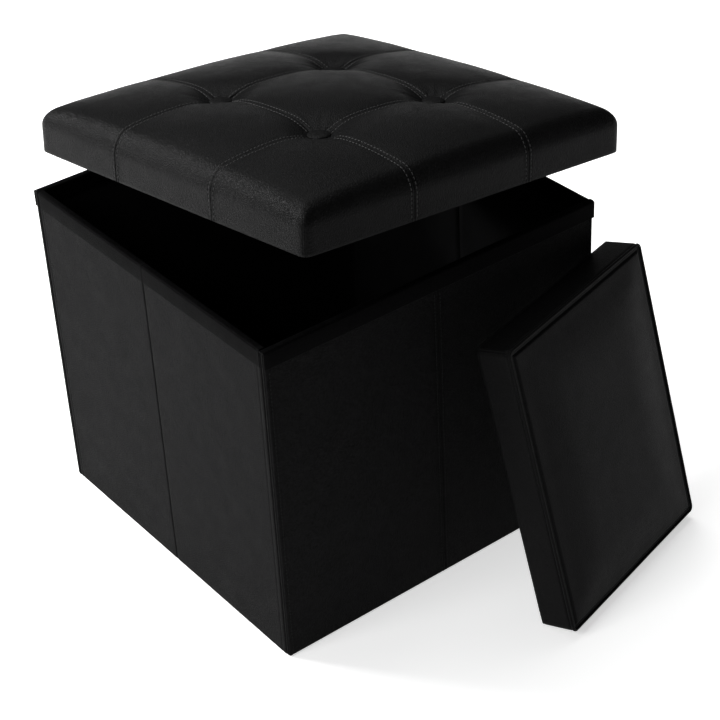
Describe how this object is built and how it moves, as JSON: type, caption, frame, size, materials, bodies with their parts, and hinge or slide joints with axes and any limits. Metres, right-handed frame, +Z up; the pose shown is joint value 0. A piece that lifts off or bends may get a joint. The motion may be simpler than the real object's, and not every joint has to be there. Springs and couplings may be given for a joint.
{
  "type": "storage ottoman",
  "caption": "Square folding storage ottoman in black faux leather with a loose button-tufted padded lid, tipped open, and a slim padded panel leaning on it.",
  "frame": {"origin": "centre of the box's square footprint, on the floor", "axes": "+Z up, -Y out of the whole front wall that the loose panel leans on, -X out of the creased left wall"},
  "size_m": [0.4361, 0.5445, 0.4804],
  "materials": {
    "box_leather": "matte pebble-grained black faux leather",
    "lid_leather": "satin pebble-grained black faux leather",
    "panel_leather": "smooth, slightly glossy black faux leather",
    "binding": "matte black rim binding",
    "lining": "black non-woven cloth",
    "fibreboard": "raw fibreboard",
    "foam": "cream open-cell foam",
    "twine": "natural twine and washer"
  },
  "bodies": {
    "front_wall": {"front_wall_cover": "box_leather", "front_wall_board": "fibreboard", "front_wall_lining": "lining", "front_wall_rim_binding": "binding", "floor_cloth": "lining"},
    "back_wall": {"back_wall_cover": "box_leather", "back_wall_board": "fibreboard", "back_wall_lining": "lining", "back_wall_rim_binding": "binding"},
    "left_wall_front": {"left_wall_front_cover": "box_leather", "left_wall_front_board": "fibreboard", "left_wall_front_lining": "lining", "left_wall_front_rim_binding": "binding"},
    "left_wall_rear": {"left_wall_rear_cover": "box_leather", "left_wall_rear_board": "fibreboard", "left_wall_rear_lining": "lining", "left_wall_rear_rim_binding": "binding"},
    "right_wall_front": {"right_wall_front_cover": "box_leather", "right_wall_front_board": "fibreboard", "right_wall_front_lining": "lining", "right_wall_front_rim_binding": "binding"},
    "right_wall_rear": {"right_wall_rear_cover": "box_leather", "right_wall_rear_board": "fibreboard", "right_wall_rear_lining": "lining", "right_wall_rear_rim_binding": "binding"},
    "lid": {"lid_under_cloth": "lining", "lid_board": "fibreboard", "lid_foam": "foam", "lid_cover": "lid_leather", "lid_button_front_left": "lid_leather", "lid_button_tie_front_left": "twine", "lid_button_front_right": "lid_leather", "lid_button_tie_front_right": "twine", "lid_button_back_left": "lid_leather", "lid_button_tie_back_left": "twine", "lid_button_back_right": "lid_leather", "lid_button_tie_back_right": "twine"},
    "panel": {"panel_back_cloth": "lining", "panel_board": "fibreboard", "panel_foam": "foam", "panel_cover": "panel_leather", "panel_piping": "panel_leather"}
  },
  "joints": [
    {"name": "fold", "type": "hinge", "parent": "front_wall", "child": "left_wall_front", "pos_m": [-0.1832, -0.1832, 0], "axis": [0, 0, -1], "range_deg": [0, 90], "deforming": ["floor_cloth"]},
    {"name": "left_crease", "type": "hinge", "parent": "left_wall_front", "child": "left_wall_rear", "pos_m": [-0.1915, 0, 0], "axis": [0, 0, 1], "range_deg": [0, 180]},
    {"name": "back_left_corner", "type": "hinge", "parent": "left_wall_rear", "child": "back_wall", "pos_m": [-0.1832, 0.1832, 0], "axis": [0, 0, -1], "range_deg": [0, 90]},
    {"name": "front_right_corner", "type": "hinge", "parent": "front_wall", "child": "right_wall_front", "pos_m": [0.1832, -0.1832, 0], "axis": [0, 0, 1], "range_deg": [0, 90]},
    {"name": "right_crease", "type": "hinge", "parent": "right_wall_front", "child": "right_wall_rear", "pos_m": [0.1915, 0, 0], "axis": [0, 0, -1], "range_deg": [0, 180]},
    {"name": "lid_tip", "type": "hinge", "parent": "front_wall", "child": "lid", "pos_m": [0.193, 0.193, 0.3455], "axis": [-0.5906, 0.7007, 0.4004], "range_deg": [-10.5, 64.5]},
    {"name": "panel_lift", "type": "slide", "parent": "front_wall", "child": "panel", "axis": [0.183, -0.683, 0.7071], "range_m": [0, 0.35]}
  ],
  "couplings": [
    {"joint": "left_crease", "follows": "fold", "ratio": 2},
    {"joint": "back_left_corner", "follows": "fold", "ratio": 1},
    {"joint": "front_right_corner", "follows": "fold", "ratio": 1},
    {"joint": "right_crease", "follows": "fold", "ratio": 2}
  ]
}
